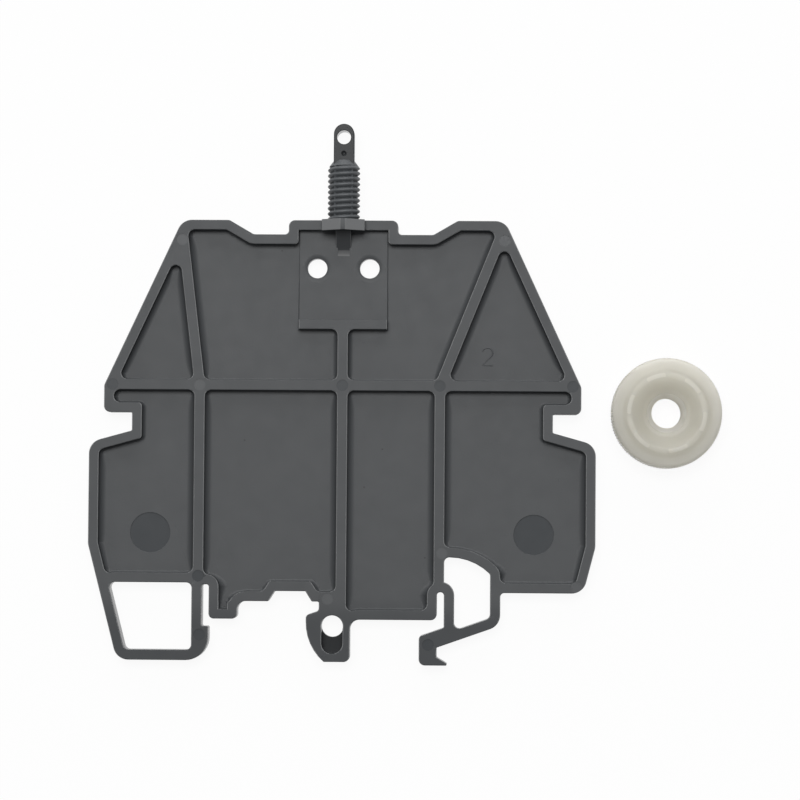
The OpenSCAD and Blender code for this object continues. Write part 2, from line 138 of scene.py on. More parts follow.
# %% [markdown]
# ## Bring the moulding over as clean faces
# A CAD mesh is a skin of long thin triangles. Bevels need whole faces, so the triangles that lie in
# one plane are joined again with a limited dissolve. The CAD object itself is never touched.

# %% The CAD node as a mesh in millimetres
FLAT = math.radians(0.3)
WELD = 0.025
SLIVER = 0.0005


def join_flat_faces(work):
    bmesh.ops.remove_doubles(work, verts=work.verts, dist=WELD)
    bmesh.ops.dissolve_degenerate(work, edges=work.edges, dist=SLIVER)
    bmesh.ops.dissolve_limit(work, angle_limit=FLAT, verts=work.verts, edges=work.edges)


moulding = bmesh.new()
moulding.from_mesh(frame["nodes"]["end_cover"].data)
moulding.transform(Matrix.Scale(1 / MM, 4))
join_flat_faces(moulding)
print("moulding:", len(moulding.verts), "vertices,", len(moulding.faces), "faces")

# %% [markdown]
# ## Note the ejector marks, then fill them
# The pins that push a moulding out of its mould leave shallow round marks. They lie so close to the
# edges of the ribs that a bevel would run into them. So their places are read from the CAD mesh, the
# rib tops are made flat, and the marks are pressed in again once the edges are soft.

# %% Read and fill the marks on the ribs
PLATE_TOP = 3.0
MARK_DEPTH = 0.1
UPWARD = 0.99
LEVEL = 0.01


def level_faces(work, height):
    upward = [f for f in work.faces if f.normal.z > UPWARD]
    return [f for f in upward if abs(f.calc_center_bounds().z - height) < LEVEL]


mark_floors = level_faces(moulding, PLATE_TOP - MARK_DEPTH)
rib_marks = [f.calc_center_bounds() for f in mark_floors]
mark_radius = max((v.co - rib_marks[0]).length for v in mark_floors[0].verts)
for vertex in {v for f in mark_floors for v in f.verts}:
    vertex.co.z = PLATE_TOP
join_flat_faces(moulding)
print(len(rib_marks), "marks of radius", round(mark_radius, 2), "mm; faces now", len(moulding.faces))

# %% [markdown]
# ## Cut off the plain stud
# The CAD model has a plain cylinder where the thread is. It is removed here above the collar, with
# the tab on its end, and the round hole that this leaves in the collar is closed.

# %% Remove the plain stud
COLLAR_TOP = 29.35
HAIR = 0.02
above = [f for f in moulding.faces if f.calc_center_median().y > COLLAR_TOP + HAIR]
bmesh.ops.delete(moulding, geom=above, context="FACES")
bmesh.ops.contextual_create(moulding, geom=[e for e in moulding.edges if e.is_boundary])
join_flat_faces(moulding)
open_edges = sum(e.is_boundary for e in moulding.edges)
print("removed", len(above), "faces of the stud;", open_edges, "open edges left")

# %% [markdown]
# ## Fillet the pockets
# The floors of the pockets run into their walls with a fillet, which gives each pocket its dark, soft
# border. It is wide at the foot of the upright and slanted walls, narrow at the foot of the level
# ones, and tapers into the corners, whose own radius leaves less room. A bevel with such changes
# crosses itself, so the fillet is built point by point: the foot of the wall moves up, the edge of
# the floor moves in, and a quarter circle of faces joins the two.

# %% Find the feet of the walls
FLOOR_TOP = 1.6
TALL_WALL = 1.0
TAPER = 2.0


def wall_of(edge):
    return min(edge.link_faces, key=lambda f: abs(f.normal.z))


def wall_height(edge):
    heights = [v.co.z for v in wall_of(edge).verts]
    return max(heights) - min(heights)


def is_foot(edge):
    on_floor = all(abs(v.co.z - FLOOR_TOP) < HAIR for v in edge.verts)
    at_wall = len(edge.link_faces) == 2 and not edge.is_convex and wall_height(edge) > TALL_WALL
    return on_floor and at_wall


def split_near_ends(edge):
    """Adds the two points between which a long fillet has its full width."""
    length = edge.calc_length()
    if length < 3 * TAPER:
        return
    start, end = edge.verts
    point = bmesh.utils.edge_split(edge, start, TAPER / length)[1]
    rest = next(e for e in end.link_edges if point in e.verts)
    bmesh.utils.edge_split(rest, end, TAPER / rest.calc_length())


for edge in [e for e in moulding.edges if is_foot(e)]:
    split_near_ends(edge)
feet = {}
for edge in moulding.edges:
    if is_foot(edge):
        for vertex in edge.verts:
            feet.setdefault(vertex, []).append(edge)
foot_edges = list(dict.fromkeys(e for edges in feet.values() for e in edges))
print(len(feet), "points on", len(foot_edges), "feet of walls")

# %% How wide a fillet may be by its wall
FILLET_R = 1.15
LEVEL_FILLET_R = 0.28
LEVEL_LAG = 0.25
PAD_FILLET_R = 0.2
PAD_SIDE = 6.5
AT_PAD = 0.05
CROWN_SIDE = 7.3
CROWN_FOOT = 25.3
ACROSS = 0.4


def middle_of(edge):
    return (edge.verts[0].co + edge.verts[1].co) / 2


def beside_pad(edge):
    return all(abs(abs(v.co.x) - PAD_SIDE) < AT_PAD for v in edge.verts)


def fillet_radius(edge):
    """Fades out where a pocket narrows to the groove beside the pad."""
    levelness = max(0.0, (1 + LEVEL_LAG) * abs(wall_of(edge).normal.y) - LEVEL_LAG)
    radius = FILLET_R + (LEVEL_FILLET_R - FILLET_R) * levelness
    if beside_pad(edge):
        radius = PAD_FILLET_R
    middle = middle_of(edge)
    if middle.y > CROWN_FOOT and abs(middle.x) < CROWN_SIDE:
        radius = max(0.0, min(radius, ACROSS * (abs(middle.x) - PAD_SIDE)))
    return radius


skin = BVHTree.FromBMesh(moulding)
radii = {}
inward = {}
for vertex, edges in feet.items():
    one, two = (wall_of(e).normal for e in (edges[0], edges[-1]))
    inward[vertex] = (one + two) / (1 + one.dot(two))
    start = vertex.co + HAIR * inward[vertex] + Vector((0, 0, HAIR))
    across = skin.ray_cast(start, inward[vertex])[3] or 0.0
    radius = min(fillet_radius(e) for e in edges) if len(edges) == 2 else 0.0
    radii[vertex] = min(radius, ACROSS * across)
print("fillets of at most", round(max(radii.values()), 2), "mm")

# %% Make room for the fillets in the corners
ROOM = 0.78
TAPER_SLOPE = 0.5
EASE = 0.95
TINY = 1e-6
rounds = 0
crowded = True
while crowded:
    crowded = False
    rounds += 1
    for edge in foot_edges:
        one, two = edge.verts
        along = two.co - one.co
        moved = along + radii[two] * inward[two] - radii[one] * inward[one]
        narrow, wide = sorted((one, two), key=radii.get)
        most = radii[narrow] + TAPER_SLOPE * along.length
        if moved.dot(along) < (1 - ROOM) * along.length_squared - TINY:
            most = min(most, EASE * radii[wide])
        if radii[wide] > most + TINY:
            radii[wide] = most
            crowded = True
print("radii settled after", rounds, "rounds; mean", round(sum(radii.values()) / len(radii), 3), "mm")

# %% Build the fillets
FILLET_STEPS = 4
NO_FILLET = 0.01


def step(points, i):
    return points[min(i, len(points) - 1)]


quarter = [math.pi / 2 * i / FILLET_STEPS for i in range(1, FILLET_STEPS)]
old_floors = [f for f in moulding.faces if f.normal.z > UPWARD and any(v in feet for v in f.verts)]
column = {}
for vertex, radius in radii.items():
    column[vertex] = [vertex]
    if radius < NO_FILLET:
        continue
    corner = vertex.co.copy()
    for turn in quarter:
        bow = (1 - math.cos(turn)) * inward[vertex] + Vector((0, 0, 1 - math.sin(turn)))
        column[vertex].append(moulding.verts.new(corner + radius * bow))
    column[vertex].append(moulding.verts.new(corner + radius * inward[vertex]))
    vertex.co.z += radius
for edge in foot_edges:
    one, two = (column[v] for v in edge.verts)
    if len(one) == 1 and len(two) == 1:
        continue
    for i in range(FILLET_STEPS):
        ring = [step(one, i), step(two, i), step(two, i + 1), step(one, i + 1)]
        moulding.faces.new(list(dict.fromkeys(ring)))
for face in old_floors:
    moulding.faces.new([column[v][-1] if v in column else v for v in face.verts])
bmesh.ops.delete(moulding, geom=old_floors, context="FACES_ONLY")
bmesh.ops.delete(moulding, geom=[e for e in moulding.edges if not e.link_faces], context="EDGES")
bmesh.ops.recalc_face_normals(moulding, faces=moulding.faces)
moulding.normal_update()
open_edges = sum(len(e.link_faces) != 2 for e in moulding.edges)
print(len(foot_edges), "lengths of fillet;", open_edges, "edges without two faces")

# %% [markdown]
# ## Soften the edges
# No moulded edge is sharp. One Bevel modifier rounds them all, because each edge can have its own
# weight. Low steps, such as the sides of the pad under the stud, have room for a fine radius only.

# %% Weigh the edges
EDGE_R = 0.12
STEP_R = 0.06
STEP_SHARE = 0.3
GUSSET_HALF = 1.2
GUSSET_FOOT = 25.0
RAMP_FOOT = GUSSET_FOOT - 1.1
RAMP_HEAD = GUSSET_FOOT + 0.1
COLLAR_FOOT = 28.4
SHARP = math.radians(28)
weights = moulding.edges.layers.float.new("bevel_weight_edge")


def near_gusset(edge):
    return all(abs(v.co.x) < GUSSET_HALF and RAMP_FOOT < v.co.y < COLLAR_FOOT for v in edge.verts)


def edge_radius(edge):
    if edge.calc_face_angle() < SHARP:
        return 0.0
    low, high = sorted(v.co.z for v in edge.verts)
    level = high - low < LEVEL
    fine = min(STEP_R, STEP_SHARE * wall_height(edge))
    if near_gusset(edge) and not level and edge.is_convex:
        return EDGE_R
    if near_gusset(edge) and middle_of(edge).y < RAMP_HEAD:
        return 0.0
    if not edge.is_convex:
        return 0.0 if not level else fine / 2 if beside_pad(edge) else fine
    return EDGE_R if level and (abs(low - PLATE_TOP) < LEVEL or low < LEVEL) else fine


edges_by_radius = {}
for edge in moulding.edges:
    radius = edge_radius(edge)
    edge[weights] = radius / EDGE_R
    key = round(radius, 2)
    edges_by_radius[key] = edges_by_radius.get(key, 0) + 1
print("edges by radius in mm:", edges_by_radius)

# %% Bevel them
cover = new_object("cover", moulding)
bevel = cover.modifiers.new("soft edges", "BEVEL")
bevel.limit_method = "WEIGHT"
bevel.width = EDGE_R
bevel.segments = 3
bevel.use_clamp_overlap = False
bevel.loop_slide = False
apply_modifiers(cover)
print("cover after the bevel:", len(cover.data.polygons), "faces")

# %% [markdown]
# ## Finishes that several materials share
# Two effects are used again and again, so each is a node group: the fine grain that a spark-eroded
# mould leaves on plastic, and the faint clouds of colour that badly mixed pigment makes. Both work
# on object coordinates, so they need no unwrapping and keep their scale on every piece.

# %% A short way to write node trees
def put(tree, kind, inputs=None, **settings):
    """Adds a node. A value in inputs is either a plain value or the socket that feeds the input."""
    made = tree.nodes.new("ShaderNode" + kind)
    for name, value in settings.items():
        setattr(made, name, value)
    for name, value in (inputs or {}).items():
        if isinstance(value, bpy.types.NodeSocket):
            tree.links.new(value, made.inputs[name])
        else:
            made.inputs[name].default_value = value
    return made


def new_group(name, inputs, outputs):
    """Starts a shader node group whose sockets are given as (name, type, default)."""
    tree = bpy.data.node_groups.new(name, "ShaderNodeTree")
    for way, sockets in (("INPUT", inputs), ("OUTPUT", outputs)):
        for label, kind, default in sockets:
            socket = tree.interface.new_socket(label, in_out=way, socket_type="NodeSocket" + kind)
            socket.default_value = default
    return tree, tree.nodes.new("NodeGroupInput"), tree.nodes.new("NodeGroupOutput")


# %% The grain of the mould
mould_grain, given, result = new_group(
    "mould_grain",
    [("Grain per metre", "Float", 5000.0), ("Roughness", "Float", 0.5), ("Variation", "Float", 0.1)],
    [("Height", "Float", 0.0), ("Roughness", "Float", 0.5)],
)
place = put(mould_grain, "TexCoord")
fine = put(mould_grain, "TexNoise", {
    "Vector": place.outputs["Object"], "Scale": given.outputs["Grain per metre"], "Detail": 3.0,
})
coarse = put(mould_grain, "TexNoise", {"Vector": place.outputs["Object"], "Scale": 420.0, "Detail": 4.0})
patchy = put(mould_grain, "MapRange", {
    "Value": coarse.outputs["Fac"], "From Min": 0.3, "From Max": 0.7, "To Min": -1.0, "To Max": 1.0,
})
sway = put(mould_grain, "Math", {
    0: patchy.outputs[0], 1: given.outputs["Variation"], 2: given.outputs["Roughness"],
}, operation="MULTIPLY_ADD")
mould_grain.links.new(fine.outputs["Fac"], result.inputs["Height"])
mould_grain.links.new(sway.outputs[0], result.inputs["Roughness"])
print("group", mould_grain.name, "puts out", [s.name for s in result.inputs if s.name])

# %% Clouds in the pigment
DARK = (0.1, 0.1, 0.1, 1)
pigment_clouds, given, result = new_group(
    "pigment_clouds",
    [("Color", "Color", DARK), ("Amount", "Float", 0.06), ("Clouds per metre", "Float", 90.0)],
    [("Color", "Color", DARK)],
)
place = put(pigment_clouds, "TexCoord")
clouds = put(pigment_clouds, "TexNoise", {
    "Vector": place.outputs["Object"], "Scale": given.outputs["Clouds per metre"], "Detail": 5.0,
})
swing = put(pigment_clouds, "MapRange", {
    "Value": clouds.outputs["Fac"], "From Min": 0.0, "From Max": 1.0, "To Min": -1.0, "To Max": 1.0,
})
gain = put(pigment_clouds, "Math", {
    0: swing.outputs[0], 1: given.outputs["Amount"], 2: 1.0,
}, operation="MULTIPLY_ADD")
tinted = put(pigment_clouds, "VectorMath", {
    0: given.outputs["Color"], "Scale": gain.outputs[0],
}, operation="SCALE")
pigment_clouds.links.new(tinted.outputs["Vector"], result.inputs["Color"])
print("group", pigment_clouds.name, "puts out", [s.name for s in result.inputs if s.name])

# %% [markdown]
# ## One recipe for moulded plastic
# Both plastics of this object have grain and clouds, so one function starts such a material and links
# the two effects to its shader. What is special about a plastic is set afterwards by its own function.

# %% Start a moulded plastic
def moulded(name, colour, grain_inputs, cloud_inputs, bump_strength, grain_depth):
    """Returns the material, and the grain and the colour that reach its shader."""
    material = bpy.data.materials.new(name)
    material.use_nodes = True
    tree = material.node_tree
    shader = tree.nodes["Principled BSDF"]
    grain = put(tree, "Group", grain_inputs, node_tree=mould_grain)
    clouds = put(tree, "Group", {"Color": (*colour, 1.0), **cloud_inputs}, node_tree=pigment_clouds)
    bump = put(tree, "Bump", {
        "Height": grain.outputs["Height"], "Strength": bump_strength, "Distance": grain_depth * MM,
    })
    tree.links.new(clouds.outputs["Color"], shader.inputs["Base Color"])
    tree.links.new(grain.outputs["Roughness"], shader.inputs["Roughness"])
    tree.links.new(bump.outputs["Normal"], shader.inputs["Normal"])
    return material, grain, clouds.outputs["Color"]


# %% [markdown]
# ## Dark grey plastic
# The cover is polyamide with a little glass and a lot of carbon black. Its pockets and ribs have the
# mould's fine matte grain, which is coarser on the feet, so that they look darker. The faces of the
# ejector pins come from polished steel, which looks darker too, because the straight view down is
# dark. The tab's faces get a darker colour, a painted dark reflection. A few burnt specks lie in the
# floor. One function makes each finish of this plastic; some finishes carry painted light or painted
# shade in their colour.

# %% Burnt specks in the floor
SPECKS = [(-9.1, 24.9), (-14.4, -3.1), (3.25, -9.9), (5.9, -4.3), (12.25, -20.2)]
SPECK_R = 0.16
SPECK_SHADE = 0.6


def with_specks(tree, place, colour):
    """The colour, darkened in the specks."""
    masks = []
    for x, y in SPECKS:
        spot = (x * MM, y * MM, FLOOR_TOP * MM)
        away = put(tree, "VectorMath", {0: place, 1: spot}, operation="DISTANCE")
        near = put(tree, "MapRange", {
            "Value": away.outputs["Value"], "From Min": 0.5 * SPECK_R * MM, "From Max": SPECK_R * MM,
            "To Min": 1.0, "To Max": 0.0,
        })
        masks.append(near.outputs[0])
    mask = masks[0]
    for other in masks[1:]:
        mask = put(tree, "Math", {0: mask, 1: other}, operation="MAXIMUM").outputs[0]
    shade = put(tree, "Math", {0: mask, 1: -SPECK_SHADE, 2: 1.0}, operation="MULTIPLY_ADD")
    darker = put(tree, "VectorMath", {0: colour, "Scale": shade.outputs[0]}, operation="SCALE")
    return darker.outputs["Vector"]


# %% Rougher feet
FOOT_TOP = -25.5
FOOT_FULL = -31.0
FOOT_ROUGHER = 0.17


def foot_roughness(tree, place, roughness):
    """Rises from the plate's roughness to that of the feet."""
    height = put(tree, "SeparateXYZ", {0: place}).outputs["Y"]
    foot = put(tree, "MapRange", {
        "Value": height, "From Min": FOOT_TOP * MM, "From Max": FOOT_FULL * MM,
        "To Min": roughness, "To Max": roughness + FOOT_ROUGHER,
    }, interpolation_type="SMOOTHSTEP")
    return foot.outputs[0]


# %% The finishes of the grey plastic
GREY = Vector((0.0465, 0.05, 0.0535))
# painted light: the pale colour of the painted highlights and of the painted light on the ramp
PAINTED_PALE = Vector((0.158, 0.162, 0.166))
SHEEN = 0.58


def grey_plastic(name, colour, roughness, grain_depth, sheen=SHEEN, on_plate=False):
    material, grain, base = moulded(
        name, colour,
        {"Grain per metre": 5200.0, "Roughness": roughness, "Variation": 0.02},
        {"Amount": 0.07, "Clouds per metre": 95.0},
        bump_strength=0.35, grain_depth=grain_depth,
    )
    tree = material.node_tree
    shader = tree.nodes["Principled BSDF"]
    if on_plate:
        place = put(tree, "TexCoord").outputs["Object"]
        tree.links.new(foot_roughness(tree, place, roughness), grain.inputs["Roughness"])
        tree.links.new(with_specks(tree, place, base), shader.inputs["Base Color"])
    shader.inputs["Specular IOR Level"].default_value = sheen
    return material


matte_grey = grey_plastic("matte_grey", GREY, 0.58, 0.02, on_plate=True)
polished_grey = grey_plastic("polished_grey", 1.25 * GREY, 0.2, 0.003, sheen=0.25)
scuffed_grey = grey_plastic("scuffed_grey", 1.1 * GREY, 0.5, 0.025)
# painted highlight: a pale colour on edges and facets that face sideways
rubbed_grey = grey_plastic("rubbed_grey", PAINTED_PALE, 0.55, 0.02)
# smooth draft walls are real; their darker colour is painted shade
wall_grey = grey_plastic("wall_grey", 0.75 * GREY, 0.25, 0.005)
# painted light: a paler colour on the ramp below the gusset
ramp_grey = grey_plastic("ramp_grey", 0.75 * PAINTED_PALE, 0.55, 0.02)
thread_grey = grey_plastic("thread_grey", 1.65 * GREY, 0.5, 0.01)
# painted shade: a darker colour for the tab's faces, its pit and the floor of the channel
tab_grey = grey_plastic("tab_grey", 0.55 * GREY, 0.3, 0.004, sheen=0.15)
glossy_grey = grey_plastic("glossy_grey", 0.75 * GREY, 0.1, 0.002, sheen=1.0)
print("finishes:", [m.name for m in bpy.data.materials if m.name.endswith("_grey")])

# %% [markdown]
# ## Give the moulding its finishes
# The mould's walls are drawn smooth so that the part comes out, and they get a darker colour, which
# is painted shade. The floor of the channel in the middle foot gets the tab's darker colour as painted
# shade. The edges of the ribs and the collar's facets that face sideways, and the gusset's sides, get
# a pale colour as a painted highlight, and the ramp below the gusset a paler colour as painted light.
# The rest has the grain.

# %% Sort the faces by finish
PAD_TOP = 1.9
CHANNEL_FLOOR = 1.0
STEEP = 0.2
RAMP_HALF = 0.95
RAMP_LENGTH = 1.0
GUSSET_SIDE = 1.15
GUSSET_RISE = 0.05


def finish_of(face):
    # painted shade: steep walls take the darker wall colour
    if abs(face.normal.z) < STEEP:
        return wall_grey
    middle = face.center
    # painted shade in the floor of the channel, in the tab's darker colour
    if abs(middle.z - CHANNEL_FLOOR) < HAIR:
        return tab_grey
    off_axis = abs(middle.x)
    at_ramp = off_axis < RAMP_HALF and GUSSET_FOOT - RAMP_LENGTH < middle.y < GUSSET_FOOT
    # painted light on the ramp below the gusset
    if at_ramp and middle.z < PAD_TOP - LEVEL:
        return ramp_grey
    on_gusset = off_axis < GUSSET_SIDE and middle.y > GUSSET_FOOT and middle.z > PAD_TOP + GUSSET_RISE
    # painted highlight on the sideways edges of the ribs, the collar's facets and the gusset's sides
    if abs(face.normal.x) > STEEP and (on_gusset or middle.z > PLATE_TOP - EDGE_R):
        return rubbed_grey
    return matte_grey


cover.data.materials.clear()
finishes = [matte_grey, wall_grey, ramp_grey, rubbed_grey, tab_grey]
for finish in finishes:
    cover.data.materials.append(finish)
for face in cover.data.polygons:
    face.material_index = finishes.index(finish_of(face))
print({f.name: sum(p.material_index == i for p in cover.data.polygons) for i, f in enumerate(finishes)})

# %% [markdown]
# ## Press the ejector marks in again
# Each mark is a disc that is cut out of the soft edged ribs. The boolean gives its faces the
# material of the cutter. Most pins are polished, and a few are worn and leave a paler mark.

# %% Cut the marks
PRESS_DEPTH = 0.065
PIN_LENGTH = 1.0
PIN_SIDES = 40
WORN_MARKS = [(-23.75, 26.4), (-20.97, 5.0), (-2.05, -26.3), (14.74, -19.5), (34.4, -24.4)]
WORN_WITHIN = 1.0


def mark_cutter(name, places, material):
    work = bmesh.new()
    middle_z = PLATE_TOP - PRESS_DEPTH + PIN_LENGTH / 2
    for spot in places:
        pin = bmesh.ops.create_cone(work, cap_ends=True, segments=PIN_SIDES, depth=PIN_LENGTH,
                                    radius1=mark_radius, radius2=mark_radius)
        bmesh.ops.translate(work, verts=pin["verts"], vec=(spot.x, spot.y, middle_z))
    tool = new_object(name, work)
    tool.data.materials.append(material)
    return tool


def is_worn(spot):
    return any(math.hypot(spot.x - x, spot.y - y) < WORN_WITHIN for x, y in WORN_MARKS)


worn = [m for m in rib_marks if is_worn(m)]
fresh = [m for m in rib_marks if not is_worn(m)]
carve(cover, "DIFFERENCE", mark_cutter("fresh_pins", fresh, polished_grey))
carve(cover, "DIFFERENCE", mark_cutter("worn_pins", worn, scuffed_grey))
print(len(fresh), "polished and", len(worn), "worn marks;", [m.name for m in cover.data.materials])

# %% Polish the two wide marks on the floor
WIDE_MARK = FLOOR_TOP - MARK_DEPTH
upward = [p for p in cover.data.polygons if p.normal.z > UPWARD]
wide_marks = [p for p in upward if abs(p.center.z - WIDE_MARK) < LEVEL]
polished_index = list(cover.data.materials).index(polished_grey)
for face in wide_marks:
    face.material_index = polished_index
print(len(wide_marks), "wide marks on the floor")
settle(cover, "end_cover", sharp_angle=40)

# %% [markdown]
# ## The threaded stud
# The thread is a height field on a cylinder: the radius at each point follows a wave with round
# crests and narrow roots that climbs one pitch per turn. A cone limits it at the top, where the
# thread runs out under the tab. Two thin seams show where the halves of the mould met.

# %% The thread
PITCH = 0.8
CREST_Y = 36.87
THREAD_R = mount_sizes["stud"]["r_mm"]
THREAD_DEPTH = 0.42
CREST_SHAPE = 1.8
THREAD_ROOT = COLLAR_TOP - 0.3
SHOULDER_END = 38.15
SHOULDER_R = 1.5
SHOULDER_SLOPE = 0.75
SEAM_ANGLE = math.radians(36)
SEAM_HALF = math.radians(2.2)
SEAM_SINK = 0.4
AXIS_Z = mounts["stud"].z
ROW = 0.04
COLUMNS = 180

heights = np.arange(THREAD_ROOT, SHOULDER_END + ROW / 2, ROW)
angles = np.linspace(-math.pi, math.pi, COLUMNS, endpoint=False)
level, angle = np.meshgrid(heights, angles, indexing="ij")
phase = (level - CREST_Y) / PITCH - angle / (2 * math.pi)
from_crest = np.abs(phase - np.round(phase))
radius = THREAD_R - THREAD_DEPTH * (2 * from_crest) ** CREST_SHAPE
on_seam = np.abs(np.abs(angle) - SEAM_ANGLE) < SEAM_HALF
radius = np.where(on_seam, np.maximum(radius, THREAD_R - SEAM_SINK * THREAD_DEPTH), radius)
radius = np.minimum(radius, SHOULDER_R + SHOULDER_SLOPE * (SHOULDER_END - level))
rings = np.stack([radius * np.sin(angle), level, AXIS_Z + radius * np.cos(angle)], axis=-1)
stud = new_object("stud", mesh_of_rings(rings, closed=False))
stud.data.materials.append(thread_grey)
print("thread:", len(heights), "rows; crests of", round(float(radius.max()), 3), "mm radius")

# %% [markdown]
# ## The eye tab
# Above the thread the stud ends in a flat tab with a round end and an eye for a seal wire. It is an
# extruded outline with bevelled edges. The eye is cut with a bobbin, which is a bit wider at both
# faces, so the rim of the eye comes out soft. Below the eye is the small pit that the gate left.

# %% The tab
TAB_HALF = 1.5
TAB_THICK = 2.6
TAB_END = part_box("end_cover")[1].y / MM
TAB_ROOT = 36.8
TAB_EDGE = 0.14
ARC_POINTS = 32
tab_low = AXIS_Z - TAB_THICK / 2
tab_high = AXIS_Z + TAB_THICK / 2
round_y = TAB_END - TAB_HALF
outline = [(TAB_HALF, TAB_ROOT), (-TAB_HALF, TAB_ROOT)]
for i in range(ARC_POINTS + 1):
    turn = math.pi - math.pi * i / ARC_POINTS
    outline.append((TAB_HALF * math.cos(turn), round_y + TAB_HALF * math.sin(turn)))
tab_work = bmesh.new()
base_face = tab_work.faces.new([tab_work.verts.new((x, y, tab_low)) for x, y in outline])
lifted = bmesh.ops.extrude_face_region(tab_work, geom=[base_face])
top_verts = [v for v in lifted["geom"] if isinstance(v, bmesh.types.BMVert)]
bmesh.ops.translate(tab_work, verts=top_verts, vec=(0, 0, TAB_THICK))
bmesh.ops.recalc_face_normals(tab_work, faces=tab_work.faces)
rims = [e for e in tab_work.edges if e.calc_face_angle() > SHARP]
bmesh.ops.bevel(tab_work, geom=rims, offset=TAB_EDGE, segments=3, profile=0.5, affect="EDGES")
tab = new_object("tab", tab_work)
# the tab's top and bottom take the darker colour, a painted dark reflection; its sides take the thread's
# colour
tab.data.materials.append(tab_grey)
tab.data.materials.append(thread_grey)
for face in tab.data.polygons:
    face.material_index = int(abs(face.normal.z) < 0.5)
print("tab up to", round(TAB_END, 2), "mm with", len(tab.data.polygons), "faces")

# %% Cut the eye and the pit
EYE = mounts["stud_eye"]
EYE_R = mount_sizes["stud_eye"]["r_mm"]
EYE_POINTS = 64
FLARE = 0.1
PIT_Y = 39.12
PIT_R = 0.44
PIT_LIFT = 0.18


def lathe(profile, points, centre):
    """Turns (radius, height) pairs about a vertical axis through centre."""
    turns = np.linspace(0, 2 * math.pi, points, endpoint=False)
    rings = []
    for r, z in profile:
        rings.append([(centre.x + r * math.cos(t), centre.y + r * math.sin(t), z) for t in turns])
    return mesh_of_rings(rings, closed=False)


bobbin = [(EYE_R + 2 * FLARE, tab_low - FLARE), (EYE_R, tab_low + FLARE),
          (EYE_R, tab_high - FLARE), (EYE_R + 2 * FLARE, tab_high + FLARE)]
eye_cutter = new_object("eye_cutter", lathe(bobbin, EYE_POINTS, EYE))
eye_cutter.data.materials.append(glossy_grey)
pit_work = bmesh.new()
above_face = Matrix.Translation((0, PIT_Y, tab_high + PIT_LIFT))
bmesh.ops.create_uvsphere(pit_work, u_segments=32, v_segments=20, radius=PIT_R, matrix=above_face)
pit_cutter = new_object("pit_cutter", pit_work)
# the pit takes the same darker colour, painted shade
pit_cutter.data.materials.append(tab_grey)
carve(stud, "UNION", tab)
carve(stud, "DIFFERENCE", eye_cutter)
carve(stud, "DIFFERENCE", pit_cutter)
settle(stud, "end_cover", sharp_angle=42)

# %% [markdown]
# ## The cavity number
# A mould with several cavities numbers each of them, and the digit is left on every part as a fine
# raised line. A path of an arc and two straight strokes is swept with a round section that is half
# buried in the floor.

# %% The digit
DIGIT = Vector((21.3, 9.42))
DIGIT_W = 1.75
DIGIT_H = 2.85
STROKE_R = 0.13
STROKE_RISE = 0.07
bowl_r = DIGIT_W / 2 - STROKE_R
bowl = DIGIT + Vector((0, DIGIT_H / 2 - STROKE_R - bowl_r))
bowl_turns = np.radians(np.arange(165, -41, -10))
path = [bowl + bowl_r * Vector((math.cos(a), math.sin(a))) for a in bowl_turns]
foot_y = DIGIT.y - DIGIT_H / 2 + STROKE_R
path += [Vector((DIGIT.x - bowl_r, foot_y)), Vector((DIGIT.x + bowl_r, foot_y))]
line = bpy.data.curves.new("cavity_number", "CURVE")
line.dimensions = "3D"
line.bevel_depth = STROKE_R
line.bevel_resolution = 3
line.use_fill_caps = True
stroke = line.splines.new("POLY")
stroke.points.add(len(path) - 1)
for point, spot in zip(stroke.points, path):
    point.co = (spot.x, spot.y, FLOOR_TOP - STROKE_R + STROKE_RISE, 1)
digit_curve = add_object("digit_curve", line)
digit = add_object("cavity_number", shaped_mesh(digit_curve))
bpy.data.objects.remove(digit_curve)
digit.data.materials.clear()
digit.data.materials.append(matte_grey)
settle(digit, "end_cover", sharp_angle=50)

# %% [markdown]
# ## The nylon nut
# The nut is a turned form with detail around its axis, so it is made of rings too: each point of
# the profile says how far it is out and up, and how much of the knurl, the raised pads of the lip or
# the inner thread it takes part in. The profile is closed, from the bore over the top to the bore.

# %% Profile of the nut
nut_low, nut_high = (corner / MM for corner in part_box("knurled_nut"))
NUT = mounts["nut_bore"]
NUT_R = (nut_high.x - nut_low.x) / 2
RIM_Z = 4.2
CREST_Z = 4.55
PAD_RISE = nut_high.z - CREST_Z
underside = [(2.53, 0.0, 0, 0), (5.0, 0.0, 0, 0), (7.7, 0.0, 0, 0), (7.9, 0.06, 0.6, 0)]
knurled_rim = [
    (NUT_R, 0.25, 1, 0), (NUT_R, 1.5, 1, 0), (NUT_R, 2.8, 1, 0), (NUT_R, RIM_Z - 0.22, 1, 0),
    (NUT_R - 0.05, RIM_Z - 0.08, 0.8, 0), (NUT_R - 0.2, RIM_Z, 0.2, 0),
    (7.5, RIM_Z, 0, 0), (6.7, RIM_Z, 0, 0), (6.4, RIM_Z + 0.02, 0, 0),
]
lip = [
    (6.2, RIM_Z + 0.12, 0, 0), (6.0, RIM_Z + 0.27, 0, 0.15), (5.85, CREST_Z - 0.02, 0, 0.6),
    (5.7, CREST_Z, 0, 1), (5.45, CREST_Z, 0, 1), (5.25, CREST_Z - 0.01, 0, 0.8),
    (5.1, CREST_Z - 0.05, 0, 0.3), (4.95, 4.42, 0, 0),
]
dish = [
    (4.8, 4.3, 0, 0), (4.55, 4.15, 0, 0), (4.0, 3.87, 0, 0), (3.6, 3.68, 0, 0), (3.35, 3.61, 0, 0),
    (3.0, 3.6, 0, 0), (2.88, 3.57, 0, 0), (2.8, 3.5, 0, 0), (2.5, 3.2, 0, 0),
]
profile = underside + knurled_rim + lip + dish
print("nut of radius", round(NUT_R, 2), "mm from", len(profile), "points of its profile")

